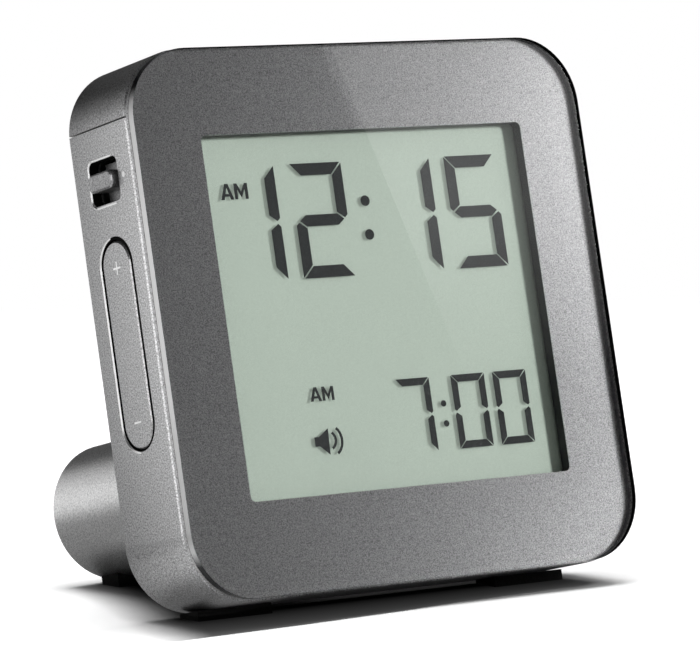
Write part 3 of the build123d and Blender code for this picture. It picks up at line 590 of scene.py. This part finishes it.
def letters_am(x, low, w, h):
    """Bold narrow A and M as convex strokes that meet edge to edge."""
    a_w = 0.47 * w
    stem = 0.115 * w
    peak = 0.5 * a_w
    notch = 0.78 * h
    bar_low, bar_high = 0.2 * h, 0.36 * h
    in_low, in_high = (stem + (peak - stem) * y / notch for y in (bar_low, bar_high))
    left_leg = [(0, 0), (stem, 0), (peak, notch), (peak, h), (peak - stem / 2, h)]
    right_leg = [(a_w - a, b) for a, b in reversed(left_leg)]
    bar = [(in_low, bar_low), (a_w - in_low, bar_low), (a_w - in_high, bar_high), (in_high, bar_high)]
    m_left = a_w + 0.04 * w
    m_stem = 0.105 * w
    in_left, in_right = m_left + m_stem, w - m_stem
    middle = m_left + 0.5 * (w - m_left)
    vee_low, vee_high, slant_low = 0.1 * h, 0.46 * h, 0.66 * h
    left_stem = rectangle(m_left, in_left, 0, h)
    right_stem = rectangle(in_right, w, 0, h)
    left_slant = [(in_left, h), (in_left, slant_low), (middle, vee_low), (middle, vee_high)]
    right_slant = [(middle, vee_low), (in_right, slant_low), (in_right, h), (middle, vee_high)]
    strokes = [left_leg, right_leg, bar, left_stem, left_slant, right_slant, right_stem]
    return [[(x + a, low + b) for a, b in s] for s in strokes]


def arc_band(first, middle, last, width=0.38, count=10):
    """Band of even width along the circle through three points."""
    (ax, ay), (bx, by), (cx, cy) = first, middle, last
    a2, b2, c2 = ax**2 + ay**2, bx**2 + by**2, cx**2 + cy**2
    d = 2 * (ax * (by - cy) + bx * (cy - ay) + cx * (ay - by))
    ux = (a2 * (by - cy) + b2 * (cy - ay) + c2 * (ay - by)) / d
    uy = (a2 * (cx - bx) + b2 * (ax - cx) + c2 * (bx - ax)) / d
    r = math.hypot(ax - ux, ay - uy)
    start, end = math.atan2(ay - uy, ax - ux), math.atan2(cy - uy, cx - ux)
    outer, inner = (arc(ux, uy, rad, start, end, count) for rad in (r + width / 2, r - width / 2))
    return outer + list(reversed(inner))


outlines = []
for text, x in TIME:
    outlines += digit(text, x, **BIG_DIGIT)
for text, x in ALARM:
    outlines += digit(text, x, **SMALL_DIGIT)
outlines += [disc(*dot) for dot in COLONS]
outlines += letters_am(**TIME_HALF_DAY)
outlines += letters_am(**ALARM_HALF_DAY)
outlines += [rectangle(*SOUND_BOX), SOUND_CONE]
outlines += [arc_band(*wave) for wave in SOUND_WAVES]

# The film behind the ink gives the segments their pale shadow on the reflector
segments = plates("lcd_segments", outlines, on_face, *INK, lcd_ink)
film = plates("segment_film", outlines, on_face, *TINT, segment_tint)
segments.visible_shadow = False
for piece in (segments, film):
    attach(piece, "clock")

# LCD glasses: the clear front one with the segments, the taller rear one with the reflector
LCD_X, LCD_UP, LCD_W, LCD_H, LCD_LEDGE = 0.5, 0.5, 58.5, 55.1, 2.5
left, right = LCD_X - LCD_W / 2, LCD_X + LCD_W / 2
low, high = LCD_UP - LCD_H / 2, LCD_UP + LCD_H / 2
front_outline = rectangle(left, right, low + LCD_LEDGE, high)
rear_outline = rectangle(left, right, low, high)
front_glass = plates("lcd_front_glass", [front_outline], on_face, *FRONT_GLASS, lcd_clear)
rear_glass = plates("lcd_rear_glass", [rear_outline], on_face, *REAR_GLASS, lcd_reflector)
for piece in (front_glass, rear_glass):
    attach(piece, "clock")
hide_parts("lcd_glass")
front_glass.visible_shadow = False

# Rear screws with a cross recess, as depths and radii; the radius 0 stands for the outline of the cross
SCREWS = ((20.0, 24.5), (-20.0, 24.5), (31.5, -31.5), (-31.5, -31.5))
CROSS_ARM, CROSS_HALF, CROSS_DEEP = 1.25, 0.3, 0.65
SHANK_R, HEAD_R, HEAD_T, HEAD_EDGE, SCREW_TIP = 1.1, 2.3, 1.1, 0.15, 10.75
SCREW_PROFILE = (
    (SCREW_TIP, SHANK_R),
    (CASE_BACK - HEAD_T, SHANK_R),
    (CASE_BACK - HEAD_T, HEAD_R),
    (CASE_BACK - HEAD_EDGE, HEAD_R),
    (CASE_BACK, HEAD_R - HEAD_EDGE),
    (CASE_BACK, 0.0),
    (CASE_BACK - CROSS_DEEP, 0.0),
)


def cross(arm, half, count=4):
    """Outline of a plus sign, each of its twelve edges cut into equal parts."""
    corners = []
    for c, s in ((1, 0), (0, 1), (-1, 0), (0, -1)):
        corners += [(c * a - s * b, s * a + c * b) for a, b in ((arm, -half), (arm, half), (half, half))]
    outline = []
    for (ax, ay), (bx, by) in zip(corners, corners[1:] + corners[:1]):
        outline += [(ax + (bx - ax) * i / count, ay + (by - ay) * i / count) for i in range(count)]
    return outline


def screw_loop(x, up, depth, r):
    """Loop of a screw at a depth: a circle, or the cross for the radius 0."""
    loop = []
    for a, b in cross(CROSS_ARM, CROSS_HALF):
        scale = r / math.hypot(a, b) if r else 1.0
        loop.append(at(x + a * scale, depth, up + b * scale))
    return loop


for i, (x, up) in enumerate(SCREWS):
    screw = lofted("rear_screw_%d" % (i + 1), [screw_loop(x, up, *p) for p in SCREW_PROFILE], steel)
    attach(screw, "clock")
    if i == 0:
        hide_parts("case_screws")

# Plus and minus on the rocker, and the index dot beside the slide knob
PRINT_T = 0.02
PLUS = ((8.2, 10.1, 9.16, 9.42), (9.02, 9.28, 9.42, 10.2), (9.02, 9.28, 8.38, 9.16))
MINUS = (8.35, 10.05, -11.9, -11.64)
INDEX = (4.3, 21.3, 0.38)
bars = [rectangle(*bar) for bar in PLUS + (MINUS,)]
marks = plates("rocker_marks", bars, on_side, 0.0, PRINT_T, print_and_painted_highlight)
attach(marks, "set_rocker")
tick = plates("index_tick", [disc(*INDEX)], on_side, 0.0, PRINT_T, print_and_painted_highlight)
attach(tick, "clock")

# Camera
CAMERA_PLACE = Vector((-359.089, -529.212, 82.99))
CAMERA_TURN = Quaternion((0.6962542, 0.6521101, -0.1955078, -0.2275065))
camera_data = bpy.data.cameras.new("camera")
camera_data.sensor_fit = "HORIZONTAL"
camera_data.sensor_width = 36.0
camera_data.lens = 232.637
camera_data.clip_start = 0.01
camera_data.clip_end = 50.0
camera = bpy.data.objects.new("camera", camera_data)
bpy.context.collection.objects.link(camera)
camera.location = CAMERA_PLACE * MM
camera.rotation_mode = "QUATERNION"
camera.rotation_quaternion = CAMERA_TURN
bpy.context.scene.camera = camera
bpy.context.scene.view_settings.view_transform = "Standard"


# Floor, with places on it in metres
FLOOR_HALF = 8.0
TUBE_END = (-0.04, 0.045, 0.0)
WHITE_FROM, WHITE_TO = 0.3, 0.6
# glow painted over the front of the floor's shadow: where it starts, where it is full, and its strength
SHADOW_LIFT_BACK, SHADOW_LIFT_FRONT, SHADOW_LIFT = -0.016, -0.031, 0.05
TUBE_NEAR, TUBE_FAR = 0.022, 0.062
GLOW_FRONT, GLOW_BACK = -0.05, 0.05
GLOW_LEFT, GLOW_RIGHT = -0.028, -0.016


def floor_material():
    """Pale floor that keeps the shadow; it throws little light back on the object."""
    mat, tree, out = new_material("floor_white")
    path = add(tree, "ShaderNodeLightPath").outputs
    coords = object_coords(tree)
    x, y, _ = add(tree, "ShaderNodeSeparateXYZ", {0: coords}).outputs
    reach = add(tree, "ShaderNodeVectorMath", {0: coords, 1: TUBE_END}, operation="DISTANCE").outputs["Value"]
    # to the eye: pale, with a painted glow that lightens the front of the shadow, and plain white far off
    painted_lift = glow(tree, grey(1.0), span(tree, y, SHADOW_LIFT_BACK, SHADOW_LIFT_FRONT, 0.0, SHADOW_LIFT))
    near = summed_shader(tree, matt(tree, grey(0.04)), painted_lift)
    away = span(tree, reach, WHITE_FROM, WHITE_TO, 0.0, 1.0)
    plain = mixed_shader(tree, away, near, glow(tree, grey(1.0), 1.0))
    # in reflections, painted by place: darker near the tube, with a painted glow under the left side of the
    # case
    half = matt(tree, span(tree, reach, TUBE_NEAR, TUBE_FAR, 0.006, 0.0185))
    dark, bright = grey(0.04), grey(0.2)
    far = span(tree, y, GLOW_FRONT, GLOW_BACK, 0.0, 1.0)
    level = ramp(tree, far, [(0.15, dark), (0.2, bright), (0.5, bright), (0.75, dark)])
    strength = span(tree, x, GLOW_LEFT, GLOW_RIGHT, 1.0, 0.05)
    under = summed_shader(tree, half, glow(tree, level, strength))
    seen = mixed_shader(tree, path["Is Glossy Ray"], plain, under)
    dim = matt(tree, grey(0.008))
    tree.links.new(mixed_shader(tree, path["Is Diffuse Ray"], seen, dim), out.inputs["Surface"])
    return mat


bm = bmesh.new()
bmesh.ops.create_grid(bm, x_segments=2, y_segments=2, size=FLOOR_HALF)
floor = make_object("floor", bm, floor_material())


# Panels seen only in reflections, and lamps; places and sizes in millimetres
def sheet(name, corners, material, hidden):
    """Single face through corners, hidden from the kinds of ray that are named."""
    bm = bmesh.new()
    bm.faces.new([bm.verts.new(Vector(c) * MM) for c in corners])
    obj = make_object(name, bm, material)
    for ray in hidden:
        setattr(obj, "visible_" + ray, False)
    return obj


def panel(name, corners, strength, dark_height, bright_height):
    """Softbox that fades in from one height to another."""
    mat, tree, out = new_material(name)
    height = add(tree, "ShaderNodeSeparateXYZ", {0: object_coords(tree)}).outputs["Z"]
    level = span(tree, height, dark_height * MM, bright_height * MM, 0.0, strength)
    tree.links.new(glow(tree, grey(1.0), level), out.inputs["Surface"])
    hidden = ("camera", "diffuse", "transmission", "volume_scatter", "shadow")
    sheet(name, corners, mat, hidden)


top_left, low_left = Vector((153.9, -234.1, 214.2)), Vector((196.0, -260.0, 78.7))
across = Vector((88.0, 66.0, 0.0))
softbox = [top_left, top_left + across, low_left + across, low_left]
panel("softbox_right", softbox, 0.58, dark_height=97.0, bright_height=135.0)
card_right, card_left = Vector((-30.0, 245.0, 0.5)), Vector((-250.0, 150.0, 0.5))
rise = Vector((0.0, 0.0, 230.0))
card = [card_right, card_left, card_left + rise, card_right + rise]
panel("card_back", card, 0.95, dark_height=165.0, bright_height=45.0)


def aim(obj, direction):
    """Turns a lamp to shine along a direction."""
    obj.rotation_euler = Vector(direction).to_track_quat("-Z", "Y").to_euler()


def lamp(name, place, target, size, radiance, diffuse=True, glossy=True):
    """Area lamp of a given size across and up, and radiance."""
    data = bpy.data.lights.new(name, "AREA")
    data.shape = "RECTANGLE"
    data.size, data.size_y = size[0] * MM, size[1] * MM
    data.energy = radiance * math.pi * data.size * data.size_y
    obj = bpy.data.objects.new(name, data)
    bpy.context.collection.objects.link(obj)
    obj.location = Vector(place) * MM
    aim(obj, Vector(target) - Vector(place))
    obj.visible_camera = False
    obj.visible_diffuse = diffuse
    obj.visible_glossy = glossy


MIDDLE = (0.0, -20.0, 40.0)
UPPER, LOWER = (0.0, -20.0, 45.0), (10.0, -25.0, 12.0)
lamp("key", (700.0, -1050.0, 370.0), MIDDLE, size=(180.0, 180.0), radiance=167.0, glossy=False)
lamp("right_near", (150.0, -105.0, 72.0), UPPER, size=(40.0, 110.0), radiance=6.0, diffuse=False)
lamp("right_low", (150.0, -150.0, 14.0), LOWER, size=(64.0, 30.0), radiance=5.0, diffuse=False)
lamp("left_front", (-420.0, -276.0, 150.0), MIDDLE, size=(160.0, 160.0), radiance=3.4, diffuse=False)

# Light from above on the floor alone: a crisp share and a soft share
floor_only = bpy.data.collections.new("floor_only")
floor_only.objects.link(floor)
for name, energy, angle, direction in (
    ("floor_sun", 72.0, 40.0, (-0.06, -0.1, -1.0)),
    ("floor_sky", 36.0, 110.0, (0.0, 0.0, -1.0)),
):
    sun_data = bpy.data.lights.new(name, "SUN")
    sun_data.energy = energy
    sun_data.angle = math.radians(angle)
    sun = bpy.data.objects.new(name, sun_data)
    bpy.context.collection.objects.link(sun)
    aim(sun, direction)
    sun.light_linking.receiver_collection = floor_only

# Plate close over the floor that only shades it, thinning out on the left
SHADE_OUTLINE = (
    (-43.0, -32.6, 0.5),
    (-22.0, -31.5, 0.5),
    (-5.0, -30.0, 0.7),
    (6.0, -28.7, 1.0),
    (30.5, -27.0, 1.2),
    (33.8, -24.9, 1.2),
    (33.4, -5.5, 2.0),
    (-3.0, -4.5, 2.5),
    (-7.0, 6.0, 3.0),
    (-9.0, 24.0, 1.5),
    (-16.0, 27.6, 0.6),
    (-24.0, 25.2, 0.6),
    (-31.0, 10.0, 1.0),
    (-47.0, -28.0, 0.5),
)
LEFTWARD = (-0.935, 0.352, 0.0)
THIN_FROM, THIN_TO = 0.023, 0.032
THINNING = ((0.0, 0.965), (0.22, 0.82), (0.6, 0.42), (1.0, 0.0))
mat, tree, out = new_material("shade_film")
thin = span(tree, along(tree, object_coords(tree), LEFTWARD), THIN_FROM, THIN_TO, 0.0, 1.0)
dense = ramp(tree, thin, [(place, grey(density)) for place, density in THINNING])
shade = mixed_shader(tree, dense, clear(tree, grey(1.0)), matt(tree, grey(0.0)))
tree.links.new(shade, out.inputs["Surface"])
plate = sheet("shade_plate", SHADE_OUTLINE, mat, ("camera", "glossy", "transmission", "volume_scatter"))

# World: white to the eye, a bright horizon under a dark dome in reflections, even fill elsewhere
FILL = 0.38
DOME_FROM, DOME_TO = -0.1, 0.5
DOME = ((0.0, 0.092), (0.4, 0.072), (1.0, 0.035))
world = bpy.data.worlds.new("studio")
bpy.context.scene.world = world
world.use_nodes = True
tree = world.node_tree
tree.nodes.clear()
path = add(tree, "ShaderNodeLightPath").outputs
direction = add(tree, "ShaderNodeTexCoord").outputs["Generated"]
height = add(tree, "ShaderNodeSeparateXYZ", {0: direction}).outputs["Z"]
lift = span(tree, height, DOME_FROM, DOME_TO, 0.0, 1.0)
dome = ramp(tree, lift, [(place, grey(level)) for place, level in DOME])
unseen = mixed_colour(tree, path["Is Glossy Ray"], grey(FILL), dome)
eye = calc(tree, "MAXIMUM", path["Is Camera Ray"], path["Is Transmission Ray"])
shown = mixed_colour(tree, eye, unseen, grey(1.0))
background = add(tree, "ShaderNodeBackground", {"Color": shown, "Strength": 1.0})
add(tree, "ShaderNodeOutputWorld", {"Surface": background.outputs[0]})
